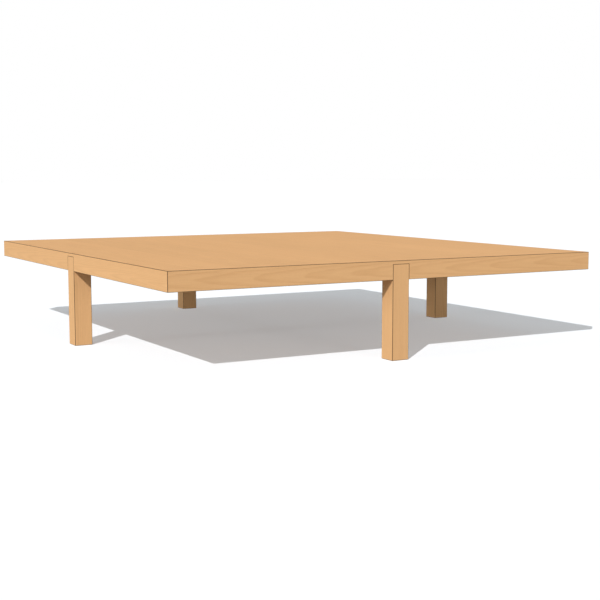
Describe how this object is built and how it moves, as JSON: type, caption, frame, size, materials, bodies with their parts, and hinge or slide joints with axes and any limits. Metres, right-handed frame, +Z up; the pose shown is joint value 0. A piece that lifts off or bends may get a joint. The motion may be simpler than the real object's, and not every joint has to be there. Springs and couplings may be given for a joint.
{
  "type": "platform bed frame",
  "caption": "Low wooden platform bed frame: a flat, nearly square deck on square posts set flush in the middle of its sides, with free corners, beams, joists and bolts beneath.",
  "frame": {"origin": "on the floor, under the middle of the deck", "axes": "+X across the bed to the right, +Y along the bed's longer side from front to back, +Z up"},
  "size_m": [1.93, 2.03, 0.386],
  "materials": {
    "deck_panel": "matt oiled pale wood, fine straight grain",
    "rail": "matt oiled pale wood, grain along the rail",
    "post": "matt oiled pale wood, upright grain",
    "inner_timber": "planed, unfinished softwood",
    "hardware": "bright zinc plated"
  },
  "bodies": {
    "root": {"beam_back": "inner_timber", "beam_front": "inner_timber", "beam_left": "inner_timber", "beam_right": "inner_timber", "bolt_back_1": "hardware", "bolt_back_2": "hardware", "bolt_front_1": "hardware", "bolt_front_2": "hardware", "bolt_left_1": "hardware", "bolt_left_2": "hardware", "bolt_right_1": "hardware", "bolt_right_2": "hardware", "corner_block_back_left": "inner_timber", "corner_block_back_right": "inner_timber", "corner_block_front_left": "inner_timber", "corner_block_front_right": "inner_timber", "joist_back_left_1": "inner_timber", "joist_back_left_2": "inner_timber", "joist_back_right_1": "inner_timber", "joist_back_right_2": "inner_timber", "joist_front_left_1": "inner_timber", "joist_front_left_2": "inner_timber", "joist_front_right_1": "inner_timber", "joist_front_right_2": "inner_timber", "nut_back_1": "hardware", "nut_back_2": "hardware", "nut_front_1": "hardware", "nut_front_2": "hardware", "nut_left_1": "hardware", "nut_left_2": "hardware", "nut_right_1": "hardware", "nut_right_2": "hardware", "post_back": "post", "post_front": "post", "post_left": "post", "post_right": "post", "rail_back": "rail", "rail_front": "rail", "rail_left": "rail", "rail_right": "rail", "screw_corner_back_left": "hardware", "screw_corner_back_right": "hardware", "screw_corner_front_left": "hardware", "screw_corner_front_right": "hardware", "screw_joist_back_left_1": "hardware", "screw_joist_back_left_2": "hardware", "screw_joist_back_right_1": "hardware", "screw_joist_back_right_2": "hardware", "screw_joist_front_left_1": "hardware", "screw_joist_front_left_2": "hardware", "screw_joist_front_right_1": "hardware", "screw_joist_front_right_2": "hardware", "top_panel": "deck_panel"}
  },
  "joints": []
}
